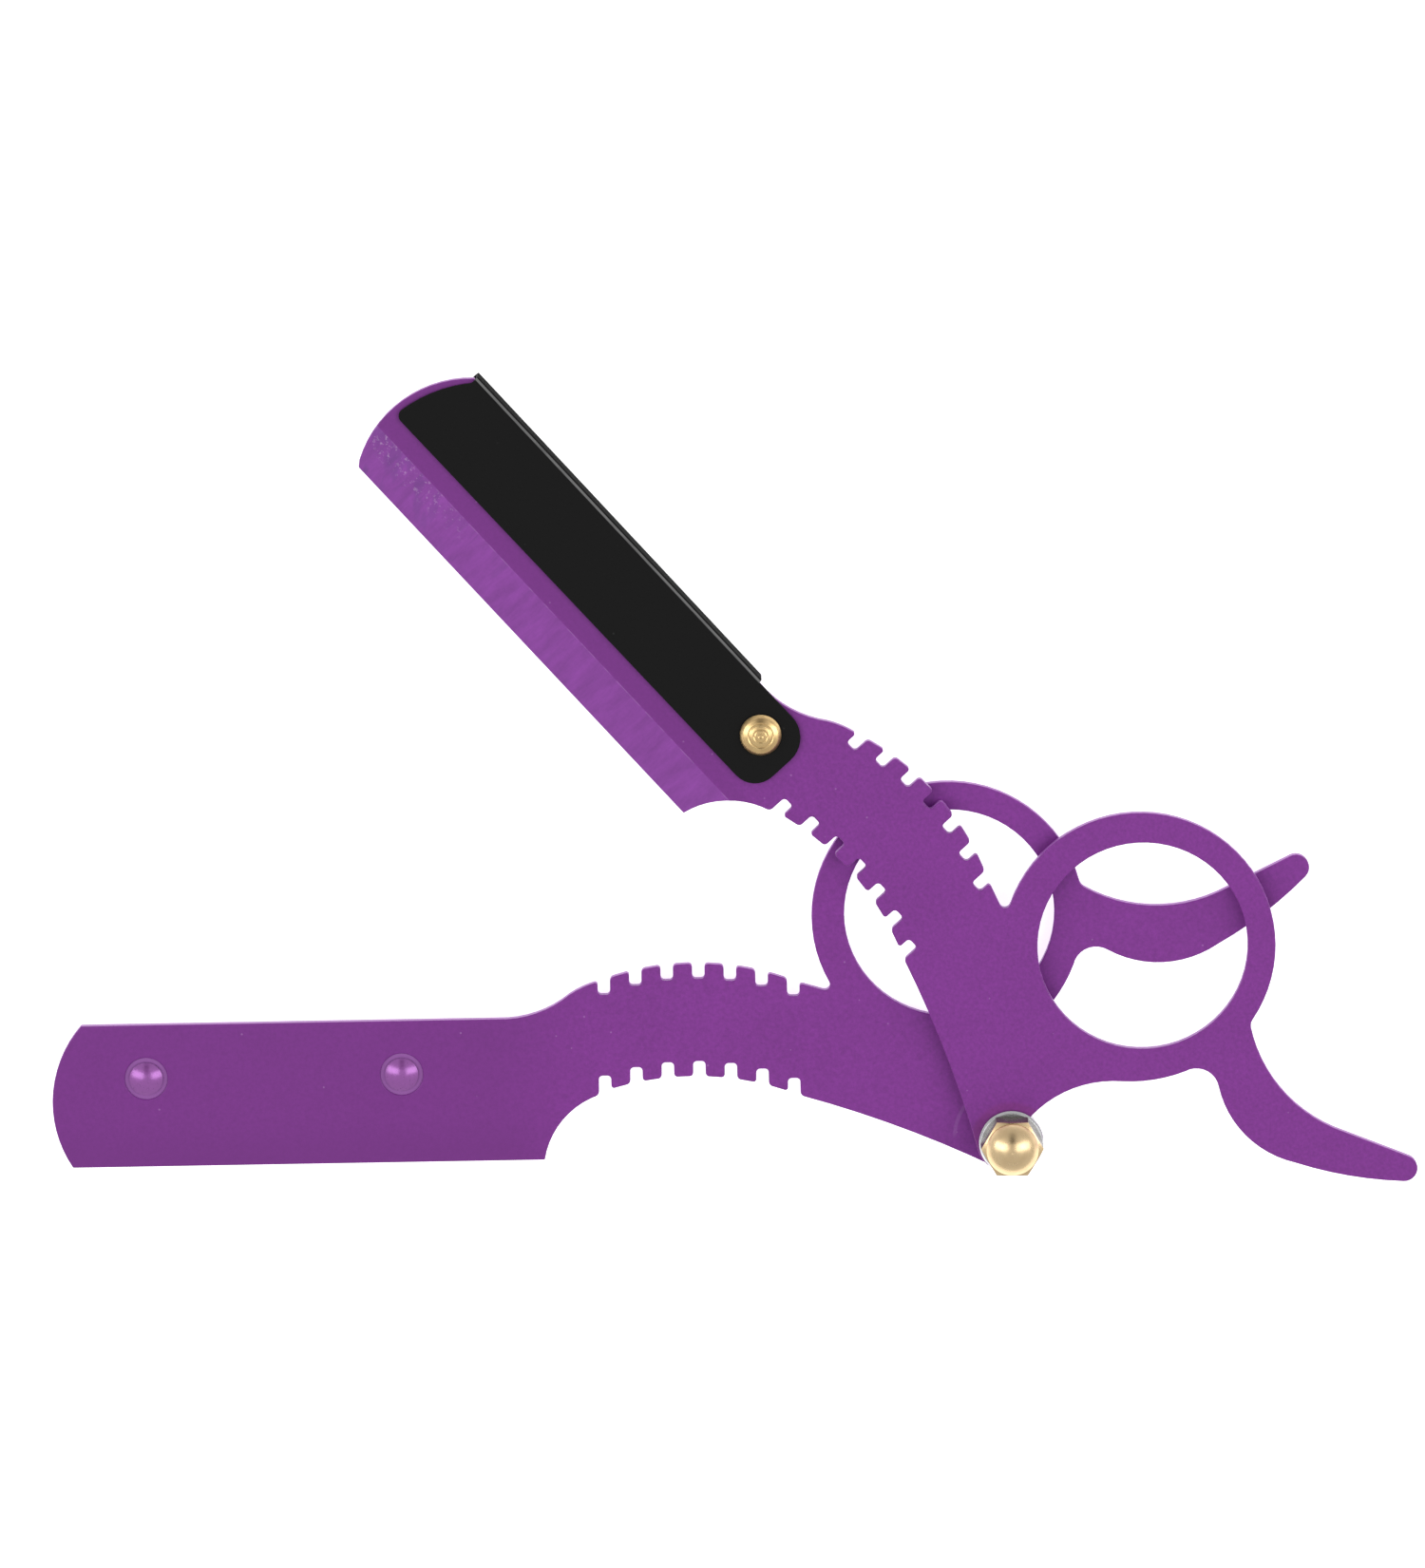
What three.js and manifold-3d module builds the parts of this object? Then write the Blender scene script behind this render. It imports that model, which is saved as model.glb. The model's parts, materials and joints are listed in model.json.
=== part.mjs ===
// Folding barber's razor with scissor handles: two stamped leaves on a capped pivot, and a swing cover that
// locks them shut over half a razor blade. Millimetres, +Z up. The outer face of the front leaf looks up.
//
// Every leaf is drawn in its own plane with the pivot at the origin, its jaw lying along -X and its finger ring
// above. The open pose turns each leaf about the pivot.

import * as THREE from 'three';
import { mergeVertices } from 'three/addons/utils/BufferGeometryUtils.js';
import Module from 'manifold-3d';

const wasm = await Module();
wasm.setup();

// ---- Driving dimensions -------------------------------------------------------------------------------------

const LEAF_THICKNESS = 1.3; // stamped sheet
const LEAF_GAP = 0.9; // between the two leaves, filled by the spacer at the pivot
const FRONT_TURN = THREE.MathUtils.degToRad(-47.35); // open pose of the front leaf
const BACK_TURN = THREE.MathUtils.degToRad(0.95); // open pose of the back leaf

const JAW_WIDTH = 17.0; // cutting edge to spine
const EDGE_Y = -1.75; // cutting edge, measured from the pivot
const HEEL_X = -54.8; // where the cutting edge stops
const HEEL_HOLLOW = 1.4; // depth of the curve from the heel up to the notches
const HEEL_DROP = 0.25; // that curve ends this far below the notched edge
const JAW_LENGTH = 57.65; // heel to the furthest point of the tip
const TIP_BOW = 2.85; // depth of the arc at the tip
const TIP_CORNER = 0.7; // the edge corner stands this much further out than the spine corner
const FRONT_NICK = { x: 0.6, y: 0.7 }; // the front leaf's edge corner is cut off, and its arc runs on to there
const GRIND_WIDTH = 5.05; // ground band along the cutting edge
const GRIND_DEPTH = 0.8; // sheet taken off at the cutting edge

// The neck's notched edges, on the spine side and on the cutting side: crest, arc and middle notch.
const UPPER_EDGE = { x: -37.1, y: 21.5, radius: 32, middleNotch: -36.38 };
const LOWER_EDGE = { x: -37.4, y: 8.0, radius: 33.4, middleNotch: -36.45 };
const NOTCH_COUNT = 7; // on each edge
const NOTCH_PITCH = 3.7;
const NOTCH_WIDTH = 1.45;
const NOTCH_DEPTH = 1.82;
const NOTCH_CORNER = 0.45; // round corners of a notch's floor

const SHOULDER = { x: -51.5, share: 0.66, foot: -58.8, crown: 0.15, hollow: 0.62 }; // neck down to the spine

const RING_RADIUS = 15.94; // outside of the finger ring
const FINGER_HOLE_RADIUS = 12.3;
const FINGER_HOLE_SHIFT = { x: 0.19, y: 0.36 }; // finger hole off the ring's centre, which thins the far side
const CROTCH = { x: -21.62, y: 18.7, radius: 0.65 }; // round end of the slot between neck and ring
const CROTCH_ANGLE = THREE.MathUtils.degToRad(28.8); // direction from the crotch to the ring's centre
const TAIL_SADDLE = { x: 17.62, y: 44.61 }; // centre of the hollow where a finger rests on the tail
const TAIL_FILLET = 1.2; // between ring and tail
const TAIL_END = { x: 33.72, y: 31.72, radius: 1.55 };

const PIVOT_BOSS = { x: -0.18, y: -0.39, radius: 3.6 }; // round end of a leaf, about the pivot
const PIVOT_BOSS_START = THREE.MathUtils.degToRad(243.5); // where the cutting side runs into that end
const PIVOT_HOLLOW = 0.56; // depth of the curve from the notches to the pivot
const WEB_X = -0.65; // straight flank above the pivot
const WEB_FILLET = 0.6;
const TAIL_NOSE_STOP = THREE.MathUtils.degToRad(117.5); // the tail's round end stops here

const PEG_SPACING = 30.0; // two pegs that hold the half blade
const PEGS_FROM_MIDDLE = 2.78; // middle of the pegs, from the middle of the jaw towards the tip
const PEG_FROM_EDGE = 10.6;
const PEG_HEAD_RADIUS = 1.95;
const PEG_SHANK_RADIUS = 1.5;
const PEG_TIP_GAP = 0.1; // crown of a peg to the front leaf
const PEG_SEAT_DEPTH = 0.2; // counterbore round the head
const PEG_GROOVE = 0.55; // width of the counterbore outside the head
const PEG_RIM = 0.3; // straight wall below the dome
const PEG_RELIEF = 0.55; // matching holes in the front leaf, round the head

const SHEET = 0.4; // cover's sheet
const COVER_CLEARANCE = 0.08; // cover to leaf, all round
const COVER_WIDTH = { rivet: 9.3, tip: 9.58 }; // spine to the free edge, which runs a little askew
const COVER_TIP_INSET = 0.5; // leaf's tip to the plate's tip
const COVER_TIP_BOW = 1.35;
const COVER_TIP_SLANT = 3.6; // the plate's tip stands this much further back at the spine
const COVER_TIP_CORNER = 0.9;
const COVER_PAST_RIVET = 4.58; // round end past the rivet
const COVER_OVERHANG = 0.15; // round end past the leaf's spine
const COVER_END_CORNER = { free: 2.95, spine: 3.6 };
const CHANNEL_FROM_RIVET = 4.6; // folded channel stops short of the rivet
const CHANNEL_FROM_TIP = 3.7; // and short of the leaf's tip
const CHANNEL_LIP = 4.5; // depth of the lip under the leaves
const FOLD_RADIUS = 0.55; // outside of each fold

const RIVET_FROM_HEEL = 0.93; // towards the tip
const RIVET_FROM_SPINE = 3.95;
const RIVET_SHANK_RADIUS = 1.5;
const RIVET_HEAD_RADIUS = 2.42;
const RIVET_HEAD_RISE = 1.0;
const RIVET_HEAD_RIM = 0.2;
const RIVET_TAIL_RADIUS = 2.2; // flared tail, flush with the inner face
const RIVET_TAIL_DEPTH = 0.7;

const SCREW_RADIUS = 1.5;
const SCREW_HEAD_RADIUS = 3.1;
const SCREW_HEAD_HEIGHT = 1.0;
const SCREW_HEAD_CHAMFER = 0.35;
const SCREW_SLOT_WIDTH = 0.8;
const SCREW_SLOT_DEPTH = 0.5;
const BACK_WASHER = { radius: 3.4, thickness: 0.4 };
const FRONT_WASHER = { radius: 3.8, thickness: 0.8, chamfer: 0.25 };
const SPACER_RADIUS = 3.2;

const NUT_ACROSS_FLATS = 6.35;
const NUT_HEX_HEIGHT = 3.3;
const NUT_CHAMFER = 0.3; // corners of the hexagon, cut back to the dome
const DOME_INSET = 0.115; // dome's foot inside the flats
const DOME_NECK = 0.25; // straight part of the cap below its dome
const DOME_RISE = 1.6;
const NUT_BORE_DEPTH = 3.9;
const SCREW_TO_BORE_END = 0.4;

const SEAT_GAP = 0.05; // between faces that bear on each other
const PIN_CLEARANCE = 0.1; // between a pin and its bore

const ARC_TOLERANCE = 0.015; // chord to arc
const FOLD_TOLERANCE = 0.0015; // the same on the cover's folds
const TURN_SEGMENTS = 48; // round a turned piece
const OVERCUT = 1.0; // a cutter's reach past the face it cuts

// ---- Levels, from the underside of the back leaf ---------------------------------------------------------

const BACK_LEAF_Z = 0;
const FRONT_LEAF_Z = BACK_LEAF_Z + LEAF_THICKNESS + LEAF_GAP;
const FRONT_FACE_Z = FRONT_LEAF_Z + LEAF_THICKNESS;
const PLATE_Z = FRONT_FACE_Z + COVER_CLEARANCE;
const COVER_TOP_Z = PLATE_Z + SHEET;
const LIP_Z = BACK_LEAF_Z - COVER_CLEARANCE - SHEET;
const FRONT_WASHER_Z = FRONT_FACE_Z + SEAT_GAP;
const NUT_Z = FRONT_WASHER_Z + FRONT_WASHER.thickness + SEAT_GAP;
const BACK_WASHER_Z = BACK_LEAF_Z - SEAT_GAP - BACK_WASHER.thickness;
const SCREW_SEAT_Z = BACK_WASHER_Z - SEAT_GAP;

const SPINE_Y = EDGE_Y + JAW_WIDTH;
const TIP_REACH = JAW_LENGTH - HEEL_X; // furthest point from the pivot
const RIVET = { x: HEEL_X - RIVET_FROM_HEEL, y: SPINE_Y - RIVET_FROM_SPINE };
const COVER_END_X = RIVET.x + COVER_PAST_RIVET;
const CHANNEL_END_X = RIVET.x - CHANNEL_FROM_RIVET;
const CHANNEL_TIP_X = CHANNEL_FROM_TIP - TIP_REACH;

const PEG_MIDDLE_X = (HEEL_X - TIP_REACH) / 2 - PEGS_FROM_MIDDLE;
const PEG_Y = EDGE_Y + PEG_FROM_EDGE;
const PEG_PROUD = LEAF_GAP - PEG_TIP_GAP;

const PIN_BORE = SCREW_RADIUS + PIN_CLEARANCE;
const DOME_RADIUS = NUT_ACROSS_FLATS / 2 - DOME_INSET;

// ---- Outlines --------------------------------------------------------------------------------------------

// A closed outline of lines and arcs, drawn anticlockwise, so that material is on the left.
class Outline {
  constructor(x, y, tolerance = ARC_TOLERANCE) {
    this.points = [new THREE.Vector2(x, y)];
    this.tolerance = tolerance;
  }

  line(x, y) {
    this.points.push(new THREE.Vector2(x, y));
    return this;
  }

  // Arc from the last point about a centre, as far as the direction `to`.
  round(centre, to, clockwise = false) {
    const start = this.points[this.points.length - 1];
    const radius = Math.hypot(start.x - centre.x, start.y - centre.y);
    const from = Math.atan2(start.y - centre.y, start.x - centre.x);
    const full = 2 * Math.PI;
    const sweep = clockwise ? (((from - to) % full) + full) % full : (((to - from) % full) + full) % full;
    const steps = Math.max(1, Math.ceil(sweep / (2 * Math.acos(1 - this.tolerance / radius))));
    const end = clockwise ? from - sweep : from + sweep;
    const arc = new THREE.ArcCurve(centre.x, centre.y, radius, from, end, clockwise);
    this.points.push(...arc.getPoints(steps).slice(1));
    return this;
  }

  // Arc to (x, y) whose middle stands `rise` outside the chord, or inside it where `rise` is negative.
  bow(x, y, rise) {
    const start = this.points[this.points.length - 1];
    const chord = Math.hypot(x - start.x, y - start.y);
    const radius = (chord * chord) / (8 * Math.abs(rise)) + Math.abs(rise) / 2;
    const outward = { x: (y - start.y) / chord, y: (start.x - x) / chord };
    const back = rise - Math.sign(rise) * radius;
    const centre = { x: (start.x + x) / 2 + outward.x * back, y: (start.y + y) / 2 + outward.y * back };
    this.round(centre, Math.atan2(y - centre.y, x - centre.x), rise < 0);
    this.points[this.points.length - 1].set(x, y);
    return this;
  }

  shape(...holes) {
    const shape = new THREE.Shape(this.points);
    shape.holes = holes.map(({ x, y, radius }) => {
      const hole = new Outline(x + radius, y).round({ x, y }, Math.PI).round({ x, y }, 0);
      return new THREE.Path(hole.points.slice(0, -1));
    });
    return shape;
  }
}

// Where two circles meet, on the right-hand side when looking from the first centre to the second.
function circlesMeet(a, radiusA, b, radiusB) {
  const apart = Math.hypot(b.x - a.x, b.y - a.y);
  const along = (apart * apart + radiusA * radiusA - radiusB * radiusB) / (2 * apart);
  const aside = Math.sqrt(radiusA * radiusA - along * along);
  const unit = { x: (b.x - a.x) / apart, y: (b.y - a.y) / apart };
  return { x: a.x + unit.x * along + unit.y * aside, y: a.y + unit.y * along - unit.x * aside };
}

const direction = (from, to) => Math.atan2(to.y - from.y, to.x - from.x);

// Height of a neck edge at x.
function neckEdge(edge, x) {
  return edge.y - edge.radius + Math.sqrt(edge.radius ** 2 - (x - edge.x) ** 2);
}

// Outer side of a neck edge's last notch towards +X, where `travel` is +1, or towards -X.
function neckLimit(edge, travel) {
  return edge.middleNotch + (travel * (NOTCH_PITCH * (NOTCH_COUNT - 1) + NOTCH_WIDTH)) / 2;
}

// One row of square grip notches along a neck edge. `travel` is +1 towards +X and -1 towards -X, and the
// notches cut towards +Y or -Y alike.
function notchRow(outline, edge, travel) {
  const cornerRise = -NOTCH_CORNER * (1 - Math.SQRT1_2);
  for (let i = 0; i < NOTCH_COUNT; i++) {
    const x = edge.middleNotch + travel * NOTCH_PITCH * (i - (NOTCH_COUNT - 1) / 2);
    const near = x - (travel * NOTCH_WIDTH) / 2;
    const far = x + (travel * NOTCH_WIDTH) / 2;
    const floor = neckEdge(edge, x) + travel * NOTCH_DEPTH;
    outline.line(near, neckEdge(edge, near));
    outline.line(near, floor - travel * NOTCH_CORNER);
    outline.bow(near + travel * NOTCH_CORNER, floor, cornerRise);
    outline.line(far - travel * NOTCH_CORNER, floor);
    outline.bow(far, floor - travel * NOTCH_CORNER, cornerRise);
    outline.line(far, neckEdge(edge, far));
  }
}

const RING = {
  x: CROTCH.x + (RING_RADIUS + CROTCH.radius) * Math.cos(CROTCH_ANGLE),
  y: CROTCH.y + (RING_RADIUS + CROTCH.radius) * Math.sin(CROTCH_ANGLE),
};
const FINGER_HOLE = {
  x: RING.x + FINGER_HOLE_SHIFT.x,
  y: RING.y + FINGER_HOLE_SHIFT.y,
  radius: FINGER_HOLE_RADIUS,
};

function leafOutline(nick = { x: 0, y: 0 }) {
  const tipX = TIP_BOW - TIP_REACH;
  const outline = new Outline(tipX + TIP_CORNER, SPINE_Y);
  outline.bow(tipX - TIP_CORNER - nick.x, EDGE_Y + nick.y, TIP_BOW - nick.x / 6);
  if (nick.y) outline.line(tipX - TIP_CORNER, EDGE_Y);
  outline.line(HEEL_X, EDGE_Y);
  const neckStart = neckLimit(LOWER_EDGE, -1);
  outline.bow(neckStart, neckEdge(LOWER_EDGE, neckStart) - HEEL_DROP, -HEEL_HOLLOW);
  notchRow(outline, LOWER_EDGE, 1);

  // Shallow hollow to the round end at the pivot, and round it.
  outline.bow(
    PIVOT_BOSS.x + PIVOT_BOSS.radius * Math.cos(PIVOT_BOSS_START),
    PIVOT_BOSS.y + PIVOT_BOSS.radius * Math.sin(PIVOT_BOSS_START),
    -PIVOT_HOLLOW,
  );
  const corner = { x: WEB_X + WEB_FILLET };
  corner.y = PIVOT_BOSS.y + Math.sqrt((PIVOT_BOSS.radius + WEB_FILLET) ** 2 - (corner.x - PIVOT_BOSS.x) ** 2);
  outline.round(PIVOT_BOSS, direction(PIVOT_BOSS, corner));
  outline.round(corner, Math.PI, true);

  // Web up to the tail, and the tail's underside.
  outline.bow(3.5, 14.4, -1.3).bow(7.6, 20.6, 0.4).bow(11.6, 22.3, -1.12).bow(24.5, 22.75, 1.85);
  const tailEndStart = -Math.PI / 4;
  outline.bow(
    TAIL_END.x + TAIL_END.radius * Math.cos(tailEndStart),
    TAIL_END.y + TAIL_END.radius * Math.sin(tailEndStart),
    0.45,
  );
  outline.round(TAIL_END, TAIL_NOSE_STOP);

  // Hollow on top of the tail, the finger ring and the slot beside the neck.
  const hollowStart = { x: 25.7, y: 29.5 };
  const hollow = Math.hypot(hollowStart.x - TAIL_SADDLE.x, hollowStart.y - TAIL_SADDLE.y);
  const fillet = circlesMeet(RING, RING_RADIUS + TAIL_FILLET, TAIL_SADDLE, hollow - TAIL_FILLET);
  outline.line(hollowStart.x, hollowStart.y);
  outline.round(TAIL_SADDLE, direction(TAIL_SADDLE, fillet), true);
  outline.round(fillet, direction(fillet, RING), true);
  outline.round(RING, direction(RING, CROTCH));
  const neckEnd = { x: neckLimit(UPPER_EDGE, 1) };
  neckEnd.y = neckEdge(UPPER_EDGE, neckEnd.x);
  const slotSlope = direction(neckEnd, CROTCH) - Math.asin(
    CROTCH.radius / Math.hypot(CROTCH.x - neckEnd.x, CROTCH.y - neckEnd.y),
  );
  outline.round(CROTCH, slotSlope - Math.PI / 2, true);
  notchRow(outline, UPPER_EDGE, -1);

  // Shoulder from the neck down to the spine, in two curves.
  const shoulderTop = outline.points[outline.points.length - 1].y;
  outline.bow(SHOULDER.x, SPINE_Y + SHOULDER.share * (shoulderTop - SPINE_Y), SHOULDER.crown);
  outline.bow(SHOULDER.foot, SPINE_Y, -SHOULDER.hollow);
  return outline;
}

// ---- Solids ----------------------------------------------------------------------------------------------

function extrude(shape, height, z) {
  const geometry = new THREE.ExtrudeGeometry(shape, { depth: height, bevelEnabled: false, curveSegments: 1 });
  return geometry.translate(0, 0, z);
}

// A solid of revolution about Z. Each profile point is [radius, z].
function turn(profile, segments = TURN_SEGMENTS) {
  const points = profile.map(([radius, z]) => new THREE.Vector2(radius, z));
  return new THREE.LatheGeometry(points, segments).rotateX(Math.PI / 2);
}

function solid(geometry) {
  geometry.deleteAttribute('normal');
  geometry.deleteAttribute('uv');
  const merged = mergeVertices(geometry, 1e-5);
  return new wasm.Manifold(
    new wasm.Mesh({
      numProp: 3,
      vertProperties: new Float32Array(merged.attributes.position.array),
      triVerts: new Uint32Array(merged.index.array),
    }),
  );
}

function surface(manifold) {
  const mesh = manifold.getMesh();
  const geometry = new THREE.BufferGeometry();
  geometry.setAttribute('position', new THREE.BufferAttribute(new Float32Array(mesh.vertProperties), 3));
  geometry.setIndex(new THREE.BufferAttribute(new Uint32Array(mesh.triVerts), 1));
  geometry.computeVertexNormals();
  return geometry;
}

// A plain cylinder that cuts a round hole from `low` to `high`.
function drill(x, y, radius, low, high) {
  return solid(turn([[0, low], [radius, low], [radius, high], [0, high]], 32).translate(x, y, 0));
}

// Points of a dome from its rim up to its crown, `rise` high on a base of `radius` at height z.
function dome(radius, rise, z, steps) {
  const ball = (radius * radius + rise * rise) / (2 * rise);
  const half = Math.asin(Math.min(1, radius / ball));
  const points = [];
  for (let i = 0; i <= steps; i++) {
    const angle = half * (1 - i / steps);
    points.push([i === steps ? 0 : ball * Math.sin(angle), z + rise - ball * (1 - Math.cos(angle))]);
  }
  return points;
}

// The wedge that grinds a leaf's cutting edge. `up` is +1 for the upper face at height z and -1 for the lower.
function grindWedge(z, up) {
  const slope = GRIND_DEPTH / GRIND_WIDTH;
  const inner = EDGE_Y + GRIND_WIDTH;
  const reach = GRIND_WIDTH + OVERCUT;
  const section = new THREE.Shape([
    new THREE.Vector2(inner + reach, z + up * slope * reach),
    new THREE.Vector2(inner - reach, z + up * slope * reach),
    new THREE.Vector2(inner - reach, z - up * slope * reach),
  ]);
  const start = -TIP_REACH - OVERCUT;
  const end = (HEEL_X + neckLimit(LOWER_EDGE, -1)) / 2;
  const prism = new THREE.ExtrudeGeometry(section, { depth: end - start, bevelEnabled: false });
  // The section's axes become Y and Z, and the extrusion runs along X.
  prism.applyMatrix4(new THREE.Matrix4().set(0, 0, 1, start, 1, 0, 0, 0, 0, 1, 0, 0, 0, 0, 0, 1));
  return solid(prism);
}

const pegXs = { tip: PEG_MIDDLE_X - PEG_SPACING / 2, heel: PEG_MIDDLE_X + PEG_SPACING / 2 };
const pivotBore = { x: 0, y: 0, radius: PIN_BORE };

function frontLeaf() {
  const reliefs = Object.values(pegXs).map((x) => ({ x, y: PEG_Y, radius: PEG_HEAD_RADIUS + PEG_RELIEF }));
  const plate = extrude(
    leafOutline(FRONT_NICK).shape(FINGER_HOLE, pivotBore, ...reliefs),
    LEAF_THICKNESS,
    FRONT_LEAF_Z,
  );
  const bore = RIVET_SHANK_RADIUS + PIN_CLEARANCE;
  const flare = RIVET_TAIL_RADIUS + PIN_CLEARANCE;
  const slope = (flare - bore) / RIVET_TAIL_DEPTH;
  const countersink = turn([
    [0, FRONT_LEAF_Z - OVERCUT],
    [flare + slope * OVERCUT, FRONT_LEAF_Z - OVERCUT],
    [bore, FRONT_LEAF_Z + RIVET_TAIL_DEPTH],
    [bore, FRONT_FACE_Z + OVERCUT],
    [0, FRONT_FACE_Z + OVERCUT],
  ]).translate(RIVET.x, RIVET.y, 0);
  return surface(solid(plate).subtract(grindWedge(FRONT_FACE_Z, 1)).subtract(solid(countersink)));
}

function backLeaf() {
  const top = BACK_LEAF_Z + LEAF_THICKNESS;
  const plate = extrude(leafOutline().shape(FINGER_HOLE, pivotBore), LEAF_THICKNESS, BACK_LEAF_Z);
  let leaf = solid(plate).subtract(grindWedge(BACK_LEAF_Z, -1));
  for (const x of Object.values(pegXs)) {
    leaf = leaf.subtract(drill(x, PEG_Y, PEG_HEAD_RADIUS + PEG_GROOVE, top - PEG_SEAT_DEPTH, top + OVERCUT));
    leaf = leaf.subtract(
      drill(x, PEG_Y, PEG_SHANK_RADIUS + PIN_CLEARANCE, BACK_LEAF_Z - OVERCUT, top + OVERCUT),
    );
  }
  return surface(leaf);
}

function bladePeg(x) {
  const seat = BACK_LEAF_Z + LEAF_THICKNESS - PEG_SEAT_DEPTH + SEAT_GAP;
  const rise = PEG_SEAT_DEPTH + PEG_PROUD - PEG_RIM - SEAT_GAP;
  return turn([
    [0, BACK_LEAF_Z],
    [PEG_SHANK_RADIUS, BACK_LEAF_Z],
    [PEG_SHANK_RADIUS, seat],
    [PEG_HEAD_RADIUS, seat],
    ...dome(PEG_HEAD_RADIUS, rise, seat + PEG_RIM, 5),
  ]).translate(x, PEG_Y, 0);
}

// Folded sheet: a plate on the front leaf, and a channel round the spine of both leaves.
function lockCover() {
  const free = { tip: SPINE_Y - COVER_WIDTH.tip, end: SPINE_Y - COVER_WIDTH.rivet };
  const tipX = COVER_TIP_INSET - TIP_REACH;
  const plate = new Outline(tipX + COVER_TIP_SLANT, SPINE_Y);
  plate.bow(tipX, free.tip + COVER_TIP_CORNER, COVER_TIP_BOW / 2);
  plate.bow(tipX + COVER_TIP_CORNER, free.tip, COVER_TIP_CORNER * (1 - Math.SQRT1_2));
  const lowCorner = { x: COVER_END_X - COVER_END_CORNER.free, y: free.end + COVER_END_CORNER.free };
  const highCorner = {
    x: COVER_END_X - COVER_END_CORNER.spine,
    y: SPINE_Y + COVER_OVERHANG - COVER_END_CORNER.spine,
  };
  plate.line(lowCorner.x, free.end).round(lowCorner, 0);
  plate.line(COVER_END_X, highCorner.y).round(highCorner, Math.PI / 2);
  const bore = { ...RIVET, radius: RIVET_SHANK_RADIUS + PIN_CLEARANCE };
  const plateSolid = solid(extrude(plate.shape(bore), SHEET, PLATE_Z));

  // Channel section in the YZ plane: a rounded U, open towards the cutting edge.
  const inside = SPINE_Y + COVER_CLEARANCE;
  const outside = inside + SHEET;
  const inner = FOLD_RADIUS - SHEET;
  const lowFold = { x: outside - FOLD_RADIUS, y: LIP_Z + FOLD_RADIUS };
  const highFold = { x: outside - FOLD_RADIUS, y: COVER_TOP_Z - FOLD_RADIUS };
  const section = new Outline(outside - CHANNEL_LIP, LIP_Z, FOLD_TOLERANCE);
  section.line(lowFold.x, LIP_Z).round(lowFold, 0);
  section.line(outside, highFold.y).round(highFold, Math.PI / 2);
  section.line(SPINE_Y - RIVET_FROM_SPINE, COVER_TOP_Z).line(SPINE_Y - RIVET_FROM_SPINE, PLATE_Z);
  section.line(highFold.x, PLATE_Z).bow(inside, PLATE_Z - inner, -inner * (1 - Math.SQRT1_2));
  section.line(inside, LIP_Z + SHEET + inner).bow(lowFold.x, LIP_Z + SHEET, -inner * (1 - Math.SQRT1_2));
  section.line(outside - CHANNEL_LIP, LIP_Z + SHEET);
  const length = CHANNEL_END_X - CHANNEL_TIP_X;
  const channel = new THREE.ExtrudeGeometry(section.shape(), { depth: length, bevelEnabled: false });
  channel.applyMatrix4(
    new THREE.Matrix4().set(0, 0, 1, CHANNEL_TIP_X, 1, 0, 0, 0, 0, 1, 0, 0, 0, 0, 0, 1),
  );
  return surface(plateSolid.add(solid(channel)));
}

function coverRivet() {
  const seat = COVER_TOP_Z + SEAT_GAP;
  return turn([
    [0, FRONT_LEAF_Z],
    [RIVET_TAIL_RADIUS, FRONT_LEAF_Z],
    [RIVET_SHANK_RADIUS, FRONT_LEAF_Z + RIVET_TAIL_DEPTH],
    [RIVET_SHANK_RADIUS, seat],
    [RIVET_HEAD_RADIUS, seat],
    ...dome(RIVET_HEAD_RADIUS, RIVET_HEAD_RISE - RIVET_HEAD_RIM, seat + RIVET_HEAD_RIM, 6),
  ]).translate(RIVET.x, RIVET.y, 0);
}

// A flat ring, with its upper rim chamfered where `chamfer` is given.
function washer(radius, thickness, z, chamfer = 0) {
  const top = z + thickness;
  const rim = chamfer ? [[radius, top - chamfer], [radius - chamfer, top]] : [[radius, top]];
  return turn([[PIN_BORE, z], [radius, z], ...rim, [PIN_BORE, top], [PIN_BORE, z]]);
}

function pivotScrew() {
  const low = SCREW_SEAT_Z - SCREW_HEAD_HEIGHT;
  const end = NUT_Z + NUT_BORE_DEPTH - SCREW_TO_BORE_END;
  const blank = turn([
    [0, low],
    [SCREW_HEAD_RADIUS - SCREW_HEAD_CHAMFER, low],
    [SCREW_HEAD_RADIUS, low + SCREW_HEAD_CHAMFER],
    [SCREW_HEAD_RADIUS, SCREW_SEAT_Z],
    [SCREW_RADIUS, SCREW_SEAT_Z],
    [SCREW_RADIUS, end],
    [0, end],
  ]);
  const slot = new THREE.BoxGeometry(2 * SCREW_HEAD_RADIUS + OVERCUT, SCREW_SLOT_WIDTH, 2 * SCREW_SLOT_DEPTH);
  return surface(solid(blank).subtract(solid(slot.translate(0, 0, low))));
}

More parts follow.
